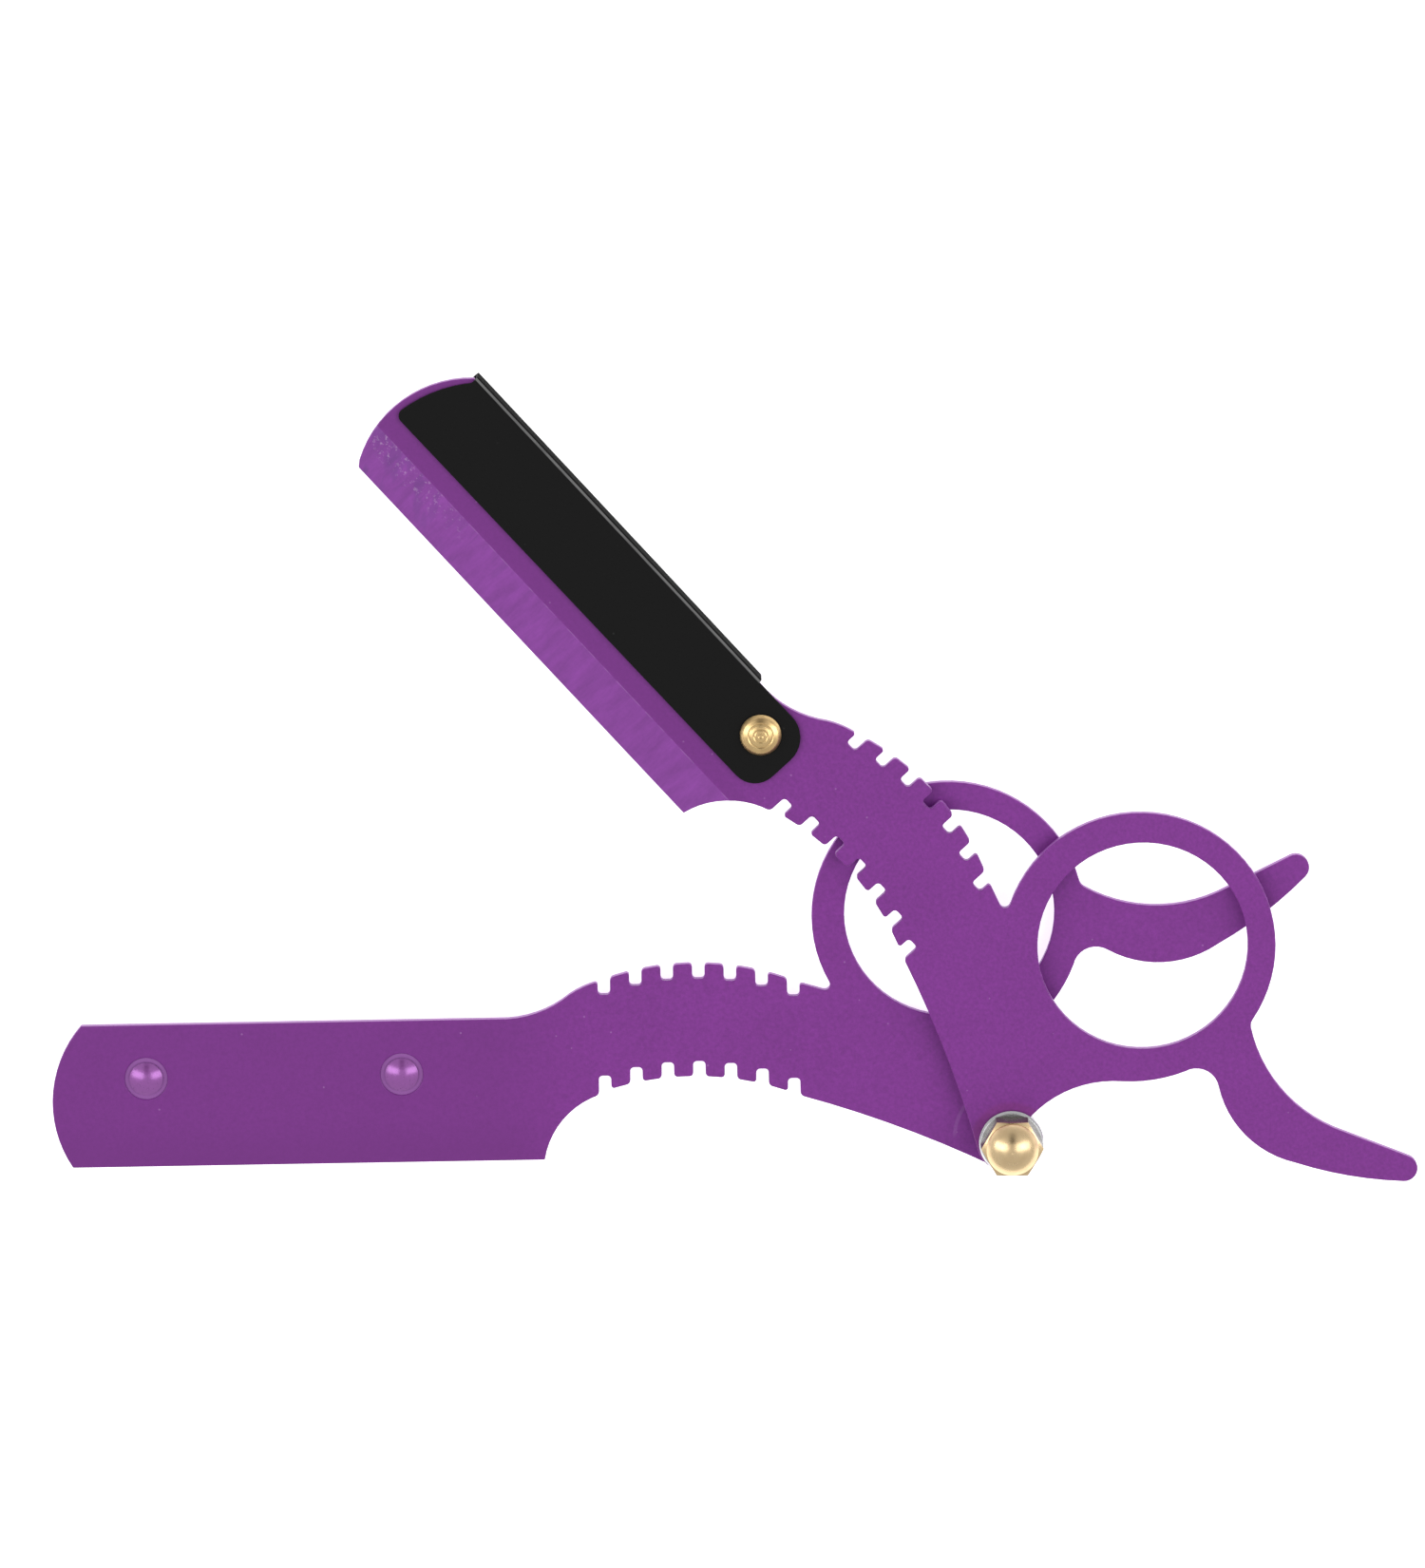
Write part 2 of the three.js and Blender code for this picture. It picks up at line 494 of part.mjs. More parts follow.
// Acorn nut: a turned blank cut to a hexagon, so that its chamfer leaves an arc on each flat.
function acornNut() {
  const top = NUT_Z + NUT_HEX_HEIGHT;
  const corner = NUT_ACROSS_FLATS / Math.sqrt(3);
  const blank = turn([
    [0, NUT_Z],
    [corner - NUT_CHAMFER, NUT_Z],
    [corner, NUT_Z + NUT_CHAMFER / 2],
    [corner, top - NUT_CHAMFER],
    [DOME_RADIUS, top],
    ...dome(DOME_RADIUS, DOME_RISE, top + DOME_NECK, 8),
  ]);
  const height = NUT_HEX_HEIGHT + DOME_NECK + DOME_RISE + 2 * OVERCUT;
  const hexagon = new Outline(corner, 0);
  for (let i = 1; i < 6; i++) {
    hexagon.line(corner * Math.cos((i * Math.PI) / 3), corner * Math.sin((i * Math.PI) / 3));
  }
  const prism = solid(extrude(hexagon.shape(), height, NUT_Z - OVERCUT));
  const bore = drill(0, 0, PIN_BORE, NUT_Z - OVERCUT, NUT_Z + NUT_BORE_DEPTH);
  return surface(solid(blank).intersect(prism).subtract(bore));
}

// ---- Assembly --------------------------------------------------------------------------------------------

const finishes = {
  purple: { color: 0x803c90, roughness: 0.45, metalness: 0.35 },
  black: { color: 0x1e1e1e, roughness: 0.75, metalness: 0.1 },
  brass: { color: 0xd2ad6a, roughness: 0.28, metalness: 1.0 },
  silver: { color: 0xc4c4c6, roughness: 0.3, metalness: 1.0 },
};

function piece(name, geometry, finish) {
  const mesh = new THREE.Mesh(geometry, new THREE.MeshStandardMaterial(finishes[finish]));
  mesh.name = name;
  return mesh;
}

// The front leaf carries the cover and its rivet, and the back leaf carries the pegs.
const front = new THREE.Group();
front.rotation.z = FRONT_TURN;
front.add(
  piece('front_leaf', frontLeaf(), 'purple'),
  piece('lock_cover', lockCover(), 'black'),
  piece('cover_rivet', coverRivet(), 'brass'),
);

const back = new THREE.Group();
back.rotation.z = BACK_TURN;
back.add(
  piece('back_leaf', backLeaf(), 'purple'),
  piece('blade_peg_tip', bladePeg(pegXs.tip), 'purple'),
  piece('blade_peg_heel', bladePeg(pegXs.heel), 'purple'),
);

// The pivot's hardware, stacked on one axis.
const spacerZ = BACK_LEAF_Z + LEAF_THICKNESS + SEAT_GAP;
const stack = new THREE.Group();
stack.add(
  piece('pivot_screw', pivotScrew(), 'silver'),
  piece('back_washer', washer(BACK_WASHER.radius, BACK_WASHER.thickness, BACK_WASHER_Z), 'silver'),
  piece('leaf_spacer', washer(SPACER_RADIUS, LEAF_GAP - 2 * SEAT_GAP, spacerZ), 'silver'),
  piece(
    'front_washer',
    washer(FRONT_WASHER.radius, FRONT_WASHER.thickness, FRONT_WASHER_Z, FRONT_WASHER.chamfer),
    'silver',
  ),
  piece('acorn_nut', acornNut(), 'brass'),
);

// The origin is the middle of the bounding box, at its lowest point.
const razor = new THREE.Group();
razor.add(front, back, stack);
razor.updateMatrixWorld(true);
const box = new THREE.Box3().setFromObject(razor, true);
razor.position.set(-(box.min.x + box.max.x) / 2, -(box.min.y + box.max.y) / 2, -box.min.z);
razor.updateMatrixWorld(true);

export default razor;
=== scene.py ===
"""Folding barber's razor with scissor handles: finishes, turned hardware, studio and camera."""

import json
import math

import bmesh
import bpy
from bpy.props import FloatProperty, FloatVectorProperty, IntProperty, PointerProperty
from mathutils import Matrix, Vector


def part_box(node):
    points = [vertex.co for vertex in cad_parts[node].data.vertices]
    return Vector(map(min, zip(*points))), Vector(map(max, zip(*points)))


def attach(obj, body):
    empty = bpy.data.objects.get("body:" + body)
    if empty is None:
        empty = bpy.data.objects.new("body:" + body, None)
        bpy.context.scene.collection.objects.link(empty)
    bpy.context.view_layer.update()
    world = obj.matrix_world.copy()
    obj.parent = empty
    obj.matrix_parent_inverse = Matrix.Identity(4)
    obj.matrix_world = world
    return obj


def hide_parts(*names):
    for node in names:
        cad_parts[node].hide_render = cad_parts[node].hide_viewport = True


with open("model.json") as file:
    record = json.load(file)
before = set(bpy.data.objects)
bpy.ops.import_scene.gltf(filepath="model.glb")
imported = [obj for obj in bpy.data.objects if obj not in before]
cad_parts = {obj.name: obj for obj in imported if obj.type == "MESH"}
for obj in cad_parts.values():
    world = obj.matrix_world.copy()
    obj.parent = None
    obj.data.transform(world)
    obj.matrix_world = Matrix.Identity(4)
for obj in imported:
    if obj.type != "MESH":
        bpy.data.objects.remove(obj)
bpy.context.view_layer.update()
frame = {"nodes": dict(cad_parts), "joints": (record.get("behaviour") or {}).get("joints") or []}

bl_info = {
    "name": "Folding Barber's Razor",
    "version": (1, 0, 0),
    "blender": (4, 5, 0),
    "location": "View3D > Sidebar > Razor",
    "description": "Builds the finished look of a folding barber's razor round its packed frame",
    "category": "Object",
}

MM = 0.001


# ---- Places taken from the frame --------------------------------------------------------------------------


def centre_of(node):
    low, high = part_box(node)
    return (low + high) / 2


def joint_place(name):
    for joint in frame["joints"]:
        if joint["name"] == name:
            return Vector(joint["pos_m"])
    raise RuntimeError(f"the frame has no joint named {name}")


PIVOT = joint_place("leaf_pivot")
RIVET = joint_place("cover_swing")

# In a leaf's own axes the pivot is at the origin, the jaw runs towards -X and the spine is on the +Y side.
RIVET_IN_LEAF = Vector((-55.73, 11.3)) * MM
TEETH_X = (-50 * MM, -22.5 * MM)  # the grip teeth lie between these
JAW_X = -46 * MM  # root of the jaw
TIP_X = -93 * MM  # the tip's wear starts here
BAND_Y = 3.30 * MM  # inner border of the ground band along the cutting edge
SPINE_Y = 15.25 * MM

# Radii of the turned hardware, in millimetres.
SHANK = 1.5
BORE = 1.6

LEVEL = 0.9999  # least upright share of a level face's normal

FLOOR_REACH = 6.0  # from the middle of the floor to its edge
FLOOR_GAP = 0.02 * MM  # keeps the underside clear of the floor


def turn_of(vector, drawn):
    """Angle that turns the drawn direction into the one found in the frame."""
    return math.atan2(vector.y, vector.x) - math.atan2(drawn.y, drawn.x)


FRONT_TURN = turn_of(RIVET - PIVOT, RIVET_IN_LEAF)
BACK_TURN = turn_of(centre_of("blade_peg_heel") - centre_of("blade_peg_tip"), Vector((1, 0)))


# ---- Sizes and colours that a user would change -------------------------------------------------------------


def length(name, description, millimetres):
    return FloatProperty(name=name, description=description, default=millimetres * MM, subtype="DISTANCE",
                         unit="LENGTH", precision=5)


def colour(name, description, value):
    return FloatVectorProperty(name=name, description=description, default=value, subtype="COLOR", size=3,
                               min=0.0, max=1.0)


def share(name, description, value, high=1.0):
    return FloatProperty(name=name, description=description, default=value, min=0.0, max=high)


class LeafSettings(bpy.types.PropertyGroup):
    coat: colour("Coat", "Colour of the satin coat on both leaves", (0.208, 0.0295, 0.270))
    # The ground band's colour is partly its own tone and partly a painted sheen of the tilted facet.
    ground: colour("Ground band", "Colour of the coat on the ground band", (0.252, 0.053, 0.334))
    peg: colour("Pegs", "Colour of the coat on the pegs", (0.34, 0.10, 0.41))
    roughness: share("Roughness", "Roughness of the coat", 0.42)
    rounding: length("Edge rounding", "Radius on the rims of the stamped sheet", 0.13)
    corner: length("Tooth corner", "Radius on the outer corners of the grip teeth", 0.42)
    grain: share("Grain", "How strongly the coat's fine grain shows", 0.8)
    # This setting also scales the painted highlight along the ground band's border and the painted reflection round
    # the washer.
    wear_and_sheen: share("Wear", "Scuffs on the ground band and round the pivot", 0.7)


class CoverSettings(bpy.types.PropertyGroup):
    coat: colour("Coat", "Colour of the matte coat on the cover", (0.0062, 0.0062, 0.0062))
    # The fold's grey is a painted highlight where the bend meets the light.
    rubbed: colour("Rubbed fold", "Colour of the coat where it is rubbed along the fold", (0.16, 0.16, 0.16))
    rounding: length("Edge rounding", "Radius on the rims of the folded sheet", 0.07)


class HardwareSettings(bpy.types.PropertyGroup):
    brass: colour("Brass", "Colour of the cap nut", (0.82, 0.62, 0.36))
    # The flats' colour is a painted shade that stands in for their dark reflection.
    painted_flat_shade: colour("Dull brass", "Colour of the cap nut's flats", (0.15, 0.13, 0.095))
    rivet: colour("Rivet brass", "Colour of the cover's rivet", (0.80, 0.57, 0.27))
    steel: colour("Steel", "Colour of the washers and the screw", (0.66, 0.66, 0.67))
    segments: IntProperty(name="Segments", description="Faces round each turned piece", default=128, min=24)
    nut_across_flats: length("Nut", "Width of the nut across its flats", 6.35)
    nut_hexagon: length("Nut hexagon", "Height of the nut's hexagon", 3.3)


class StudioSettings(bpy.types.PropertyGroup):
    floor: colour("Floor", "Colour of the floor", (0.95, 0.95, 0.95))
    glow: share("Floor glow", "Light given off by the floor, which fades the shadows", 0.80, 2.0)
    room: share("Room light", "Strength of the light from all round", 0.62, 10.0)
    gap: colour("Overhead gap", "Colour of the dark gap overhead", (0.045, 0.037, 0.026))
    key_power: FloatProperty(name="Side lights", description="Power of each soft box", default=2.7, min=0.0,
                             subtype="POWER", unit="POWER")
    distance: FloatProperty(name="Camera distance", description="Camera to the middle of the razor",
                            default=1.100, subtype="DISTANCE", unit="LENGTH")
    lens: FloatProperty(name="Lens", description="Focal length on the long side", default=216.52,
                        subtype="DISTANCE_CAMERA", unit="CAMERA")
    tilt: FloatProperty(name="Camera tilt", description="Lean of the camera from straight above",
                        default=math.radians(10.83), subtype="ANGLE", unit="ROTATION")
    yaw: FloatProperty(name="Camera yaw", description="Lean of the camera to the side",
                       default=math.radians(0.17), subtype="ANGLE", unit="ROTATION")
    roll: FloatProperty(name="Camera roll", description="Turn of the picture", default=math.radians(0.03),
                        subtype="ANGLE", unit="ROTATION")
    target: FloatVectorProperty(name="Camera target", description="Point at the middle of the picture", size=3,
                                default=(-0.002616, -0.000536, 0.003), subtype="TRANSLATION", unit="LENGTH")


# ---- Shader maths and nodes ----------------------------------------------------------------------------------


class Value:
    """A number that varies over a surface, ready for Python arithmetic."""

    def __init__(self, nodes, socket):
        self.nodes, self.socket = nodes, socket

    def _math(self, operation, *operands):
        node = self.nodes.add("ShaderNodeMath", {"operation": operation}, dict(enumerate(operands)))
        return Value(self.nodes, node.outputs[0])

    def __add__(self, other):
        return self._math("ADD", self, other)

    __radd__ = __add__

    def __sub__(self, other):
        return self._math("SUBTRACT", self, other)

    def __rsub__(self, other):
        return self._math("SUBTRACT", other, self)

    def __mul__(self, other):
        return self._math("MULTIPLY", self, other)

    __rmul__ = __mul__

    def __pow__(self, other):
        return self._math("POWER", self, other)

    def __abs__(self):
        return self._math("ABSOLUTE", self)

    def sine(self):
        return self._math("SINE", self)

    def step(self, low, high):
        """0 below `low`, 1 above `high` and smooth between them. The two may be given the other way round."""
        node = self.nodes.add(
            "ShaderNodeMapRange",
            {"interpolation_type": "SMOOTHSTEP", "clamp": True},
            {"Value": self, "From Min": min(low, high), "From Max": max(low, high),
             "To Min": 0.0 if low < high else 1.0, "To Max": 1.0 if low < high else 0.0},
        )
        return Value(self.nodes, node.outputs["Result"])

    def band(self, middle, half, soft):
        """1 within `half` of `middle`, fading to 0 over `soft`."""
        return abs(self - middle).step(half + soft, half)


class Nodes:
    """The nodes of one tree, with the links between them."""

    def __init__(self, tree):
        self.tree = tree

    def add(self, kind, settings=None, inputs=None):
        """Adds a node: first its settings, then its sockets' values or links."""
        node = self.tree.nodes.new(kind)
        for key, value in (settings or {}).items():
            setattr(node, key, value)
        for key, value in (inputs or {}).items():
            self.feed(node.inputs[key], value)
        return node

    def feed(self, socket, value):
        if isinstance(value, Value):
            value = value.socket
        if isinstance(value, bpy.types.NodeSocket):
            self.tree.links.new(value, socket)
        else:
            socket.default_value = value

    def axes(self, vector):
        node = self.add("ShaderNodeSeparateXYZ", None, {0: vector})
        return [Value(self, socket) for socket in node.outputs]

    def mix(self, factor, first, second):
        node = self.add("ShaderNodeMix", {"data_type": "RGBA", "clamp_factor": True}, {"Factor": factor})
        for socket, value in ((node.inputs[6], first), (node.inputs[7], second)):
            self.feed(socket, (*value, 1.0) if isinstance(value, tuple) else value)
        return node.outputs[2]


class Finish(Nodes):
    """A node-based material on a Principled shader."""

    def __init__(self, name):
        self.material = bpy.data.materials.new(name)
        self.material.use_nodes = True
        super().__init__(self.material.node_tree)
        self.tree.nodes.clear()
        output = self.tree.nodes.new("ShaderNodeOutputMaterial")
        self.shader = self.add("ShaderNodeBsdfPrincipled")
        self.tree.links.new(self.shader.outputs[0], output.inputs["Surface"])

    def set(self, **values):
        """Feeds the Principled shader's sockets, an underscore standing for a space."""
        for key, value in values.items():
            self.feed(self.shader.inputs[key.replace("_", " ")], value)

    def place(self, origin=(0, 0, 0), turn=0.0):
        """Object coordinates from `origin`, along axes turned about Z."""
        coordinates = self.add("ShaderNodeTexCoord").outputs["Object"]
        mapping = self.add("ShaderNodeMapping", {"vector_type": "TEXTURE"},
                           {"Vector": coordinates, "Location": tuple(origin), "Rotation": (0, 0, turn)})
        return mapping.outputs[0]

    def stretched(self, vector, scale):
        node = self.add("ShaderNodeVectorMath", {"operation": "MULTIPLY"}, {0: vector, 1: scale})
        return node.outputs[0]

    def noise(self, vector, per_mm, detail=2.0, roughness=0.5):
        node = self.add("ShaderNodeTexNoise", {"noise_dimensions": "3D"},
                        {"Vector": vector, "Scale": per_mm / MM, "Detail": detail, "Roughness": roughness})
        return Value(self, node.outputs[0])

    def specks(self, vector, per_mm, share_of_cells, radius):
        """1 inside small round specks, in that share of the cells."""
        node = self.add("ShaderNodeTexVoronoi", {"feature": "F1"}, {"Vector": vector, "Scale": per_mm / MM})
        chosen = self.axes(node.outputs["Color"])[0].step(share_of_cells, share_of_cells * 0.98)
        return Value(self, node.outputs["Distance"]).step(radius, radius * 0.4) * chosen

    def bump(self, height, distance):
        node = self.add("ShaderNodeBump", None, {"Height": height, "Distance": distance, "Strength": 1.0})
        self.set(Normal=node.outputs[0])


def shade(colour_value, factor):
    return tuple(min(1.0, channel * factor) for channel in colour_value)


def ground_coat(finish, settings, turn, fine):
    """The ground band's colour, most worn towards the tip, with a painted highlight along its border, and the
    grinding marks that run across it.
    Its lighter colour is partly its own tone and partly a painted sheen of the tilted facet.
    """
    here = finish.place(PIVOT, turn)
    x, y, _ = finish.axes(here)
    ground, wear_and_sheen = tuple(settings.ground), settings.wear_and_sheen
    marks = finish.noise(finish.stretched(here, (1.0, 0.16, 1.0)), 0.9, 3.0, 0.65)
    tint = finish.mix((marks - 0.5) * 1.6 + (fine - 0.5) * settings.grain * 0.6 + 0.5,
                      shade(ground, 0.80), shade(ground, 1.18))

    streaks = finish.noise(finish.stretched(here, (1.0, 0.10, 1.0)), 1.5).step(0.56, 0.68)
    tint = finish.mix(streaks * x.step(-60 * MM, -100 * MM) * 0.34 * wear_and_sheen, tint, (0.150, 0.045, 0.225))

    tip = x.step(TIP_X, TIP_X - 11 * MM)
    slanted = finish.place(PIVOT, turn + math.radians(33))
    smears = finish.noise(finish.stretched(slanted, (1.0, 0.30, 1.0)), 0.75).step(0.50, 0.66)
    tint = finish.mix(smears * tip * 0.50 * wear_and_sheen, tint, (0.135, 0.045, 0.225))

    chips = finish.noise(here, 1.9, 4.0, 0.7).step(0.56, 0.66) * y.band(BAND_Y - 0.9 * MM, 0.7 * MM, 1.4 * MM)
    tint = finish.mix(chips * tip * wear_and_sheen * 0.55, tint, (0.62, 0.42, 0.68))

    # A painted highlight along the band's border, broken up.
    painted_border_highlight = y.band(BAND_Y - 0.02 * MM, 0.03 * MM, 0.10 * MM) * finish.noise(here, 0.8).step(0.42, 0.62)
    return finish.mix(painted_border_highlight * 0.35 * wear_and_sheen, tint, (0.50, 0.28, 0.58)), marks


def leaf_finish(name, settings, turn, top, outer_up):
    """Satin coat on one leaf. `top` is the height of its upper face, and `outer_up` says that its outer, ground
    face looks up."""
    finish = Finish(name)
    coat = tuple(settings.coat)
    deep = shade(coat, 0.80)
    here = finish.place(PIVOT, turn)
    x, y, z = finish.axes(here)
    z = z + PIVOT.z - top
    radius = (x * x + y * y) ** 0.5

    fine = finish.noise(here, 2.6, 3.0, 0.65)
    broad = finish.noise(here, 0.09)
    tint = finish.mix((fine - 0.5) * settings.grain * 1.9 + (broad - 0.5) * 0.35 + 0.5, deep, shade(coat, 1.26))
    tint = finish.mix(x.step(JAW_X, JAW_X - 16 * MM) * 0.5, tint, deep)
    dust = finish.specks(here, 0.62, 0.18, 0.10)
    tint = finish.mix(dust * 0.56 * settings.grain, tint, (0.42, 0.20, 0.50))

    face = z.step(-0.95 * MM, -0.85 * MM) if outer_up else z.step(-0.45 * MM, -0.5 * MM)
    if outer_up:
        # A painted shadow of the cover beside the ground band, and a painted reddish reflection of the brass nut in a
        # ring round the washer.
        painted_cover_shadow = y.band(BAND_Y + 0.9 * MM, 0.5 * MM, 0.5 * MM) * x.step(-49 * MM, -52 * MM) * face
        tint = finish.mix(painted_cover_shadow * 0.35, tint, deep)
        # Painted reddish reflection of the brass nut.
        painted_nut_reflection = radius.band(4.1 * MM, 0.25 * MM, 0.7 * MM)
        tint = finish.mix(painted_nut_reflection * 0.45 * settings.wear_and_sheen, tint, (0.22, 0.030, 0.14))

    band = y.step(BAND_Y + 0.04 * MM, BAND_Y - 0.06 * MM) * face * x.step(-48 * MM, -50 * MM)
    ground_tint, marks = ground_coat(finish, settings, turn, fine)
    tint = finish.mix(band, tint, ground_tint)

    # Painted light on the walls and on the floors of the peg seats.
    walls = z.step(-0.05 * MM, -0.13 * MM) * z.step(-1.27 * MM, -1.20 * MM) * (1 - band)
    tint = finish.mix(walls * 0.45, tint, (0.46, 0.20, 0.55))

    if not outer_up:
        # A polished arc where the other leaf rubs, and a painted shade low on the inner face towards the cutting
        # edge.
        arc = radius.band(6.6 * MM, 0.10 * MM, 0.22 * MM) * y.step(-0.2 * MM, 0.8 * MM) * x.step(-1.0 * MM, -4.6 * MM)
        tint = finish.mix(arc * settings.wear_and_sheen * 0.30, tint, (0.40, 0.18, 0.50))
        low = y.step(4.5 * MM, -1.0 * MM) * x.step(-52 * MM, -60 * MM)
        tint = finish.mix(low * 0.55, tint, deep)

    finish.set(Base_Color=tint, Roughness=settings.roughness + (fine - 0.5) * 0.10, Metallic=0.0,
               Specular_IOR_Level=0.34)
    finish.bump(fine * 0.5 + marks * band * 1.2, 0.006 * MM)
    return finish.material


def peg_finish(settings):
    """A thinner, glossier run of the coat over the pegs, which lets their metal glint."""
    finish = Finish("peg_coat")
    fine = finish.noise(finish.place(), 3.0)
    coat = tuple(settings.peg)
    finish.set(Base_Color=finish.mix(fine, shade(coat, 0.88), shade(coat, 1.10)), Metallic=0.55,
               Roughness=0.24 + fine * 0.10, Specular_IOR_Level=0.5, Coat_Weight=0.6, Coat_Roughness=0.16)
    finish.bump(fine, 0.004 * MM)
    return finish.material


def cover_finish(settings):
    """Matte black coat, dusted with pale specks, with a painted grey highlight along the fold and a painted shade on
    the channel's web.
    """
    finish = Finish("cover_coat")
    coat = tuple(settings.coat)
    here = finish.place(PIVOT, FRONT_TURN)
    x, y, z = finish.axes(here)
    fine = finish.noise(here, 4.0, 3.0, 0.6)
    tint = finish.mix(fine, shade(coat, 0.75), shade(coat, 1.35))
    specks = finish.specks(here, 0.55, 0.16, 0.09)
    tint = finish.mix(specks * 0.35, tint, (0.05, 0.05, 0.05))
    # Painted shade on the channel's web.
    web = y.step(SPINE_Y + 0.30 * MM, SPINE_Y + 0.38 * MM)
    tint = finish.mix(web, tint, shade(coat, 0.35))

    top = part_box("lock_cover")[1].z - PIVOT.z
    # A painted highlight along the top of the fold, broken up unevenly.
    fold = (y.band(SPINE_Y + 0.20 * MM, 0.09 * MM, 0.08 * MM) * z.step(top - 0.40 * MM, top - 0.25 * MM)
            * x.step(-60.2 * MM, -60.4 * MM))
    uneven = finish.noise(finish.stretched(here, (0.3, 1.0, 1.0)), 0.9, 3.0).step(0.25, 0.6)
    tint = finish.mix(fold * (0.55 + 0.45 * uneven), tint, tuple(settings.rubbed))
    finish.set(Base_Color=tint, Roughness=0.66 + (fine - 0.5) * 0.12 + web * 0.30, Metallic=0.0,
               Specular_IOR_Level=0.12)
    finish.bump(fine, 0.008 * MM)
    return finish.material


def turned_finish(name, centre, base, dull, roughness, rings_per_mm, ring_depth=0.0022 * MM, dark=None,
                  dark_below=0.0):
    """Bright metal with the rings of the lathe tool about its axis. Below the height `dark_below` it is less metallic
    and takes the colour `dark`, a painted shade."""
    finish = Finish(name)
    here = finish.place(centre)
    x, y, z = finish.axes(here)
    radius = (x * x + y * y) ** 0.5
    cloud = finish.noise(here, 0.7, 3.0, 0.55)
    drift = finish.noise(here, 3.2)
    rings = (radius * (rings_per_mm * 2 * math.pi / MM) + drift * 2.5).sine() * 0.5 + 0.5
    tint = finish.mix(cloud.step(0.35, 0.75) * 0.7, base, dull)
    metal = 1.0
    if dark:
        below = (z + centre.z).step(dark_below + 0.05 * MM, dark_below - 0.05 * MM)
        tint = finish.mix(below, tint, dark)
        metal = 1 - below * 0.7
    finish.set(Base_Color=tint, Metallic=metal, Roughness=roughness + cloud * 0.10 + rings * 0.05)
    finish.bump(rings, ring_depth)
    return finish.material


def floor_finish(settings):
    finish = Finish("studio_floor")
    soft = finish.noise(finish.place(), 0.004)
    pale = tuple(settings.floor)
    finish.set(Base_Color=finish.mix(soft, shade(pale, 0.985), shade(pale, 1.01)), Roughness=0.9,
               Specular_IOR_Level=0.1, Emission_Color=(1.0, 1.0, 1.0, 1.0), Emission_Strength=settings.glow)
    return finish.material


# ---- Mesh helpers ---------------------------------------------------------------------------------------------


def piece(name, mesh, material, body, slot, *nodes):
    """Puts a finished mesh in the scene in place of its CAD nodes."""
    made = bpy.data.objects.new(name, mesh)
    bpy.context.scene.collection.objects.link(made)
    mesh.materials.clear()
    mesh.materials.append(material)
    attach(made, body)
    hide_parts(*nodes)


def is_level(face):
    return abs(face.normal.z) > LEVEL


def merged(node):
    """A bmesh of a CAD node with its loose triangles joined into whole faces."""
    whole = bmesh.new()
    whole.from_mesh(frame["nodes"][node].data)
    bmesh.ops.remove_doubles(whole, verts=whole.verts, dist=0.001 * MM)
    # Turning the seams across the flats into short ones first keeps them clear of the rims they would graze.
    level = [face for face in whole.faces if is_level(face)]
    seams = [edge for edge in whole.edges if len(edge.link_faces) == 2 and all(map(is_level, edge.link_faces))]
    bmesh.ops.beautify_fill(whole, faces=level, edges=seams, use_restrict_tag=False, method="ANGLE")
    bmesh.ops.dissolve_limit(whole, angle_limit=math.radians(0.2), verts=whole.verts, edges=whole.edges)
    return whole


def upright_corners(whole, least_angle):
    """Outer corners of a stamped sheet: upright edges where two walls meet at more than `least_angle`."""
    found = []
    for edge in whole.edges:
        along = edge.verts[1].co - edge.verts[0].co
        if len(edge.link_faces) == 2 and abs(along.z) > 0.98 * along.length and edge.is_convex:
            if edge.calc_face_angle(0.0) > least_angle:
                found.append(edge)
    return found


def leaf_place(point, turn):
    """A point of the frame in a leaf's own axes."""
    return Matrix.Rotation(-turn, 3, "Z") @ (point - PIVOT)


def sheet_mesh(name, whole, rounding, turn=None, corner=0.0, segments=3):
    """Ends a stamped sheet's bmesh: rounds its tooth corners and its rims, and leaves its flats flat."""
    if turn is not None:
        teeth = [edge for edge in upright_corners(whole, math.radians(50))
                 if TEETH_X[0] < leaf_place(edge.verts[0].co, turn).x < TEETH_X[1]]
        bmesh.ops.bevel(whole, geom=teeth, offset=corner, offset_type="OFFSET", segments=4, profile=0.5,
                        affect="EDGES", clamp_overlap=True)
    flats = whole.faces.layers.int.new("flat")
    for face in whole.faces:
        face[flats] = int(abs(face.normal.z) > 0.9)
    rims = [edge for edge in whole.edges if len(edge.link_faces) == 2
            and edge.is_convex and edge.calc_face_angle(0.0) > math.radians(28)]
    made = bmesh.ops.bevel(whole, geom=rims, offset=rounding, offset_type="OFFSET", segments=segments, profile=0.5,
                           affect="EDGES", clamp_overlap=False, miter_outer="ARC", loop_slide=True)
    for face in made["faces"]:
        face[flats] = 0
    # Flats that are exactly level show no seams.
    heights = [vert.co.z for vert in whole.verts]
    levels = (min(heights), max(heights))
    for face in whole.faces:
        face.smooth = not face[flats]
        if face[flats] and is_level(face):
            for vert in face.verts:
                for level in levels:
                    if abs(vert.co.z - level) < 0.01 * MM:
                        vert.co.z = level
    whole.faces.layers.int.remove(flats)
    bmesh.ops.recalc_face_normals(whole, faces=whole.faces)
    mesh = bpy.data.meshes.new(name)
    whole.to_mesh(mesh)
    whole.free()
    return mesh


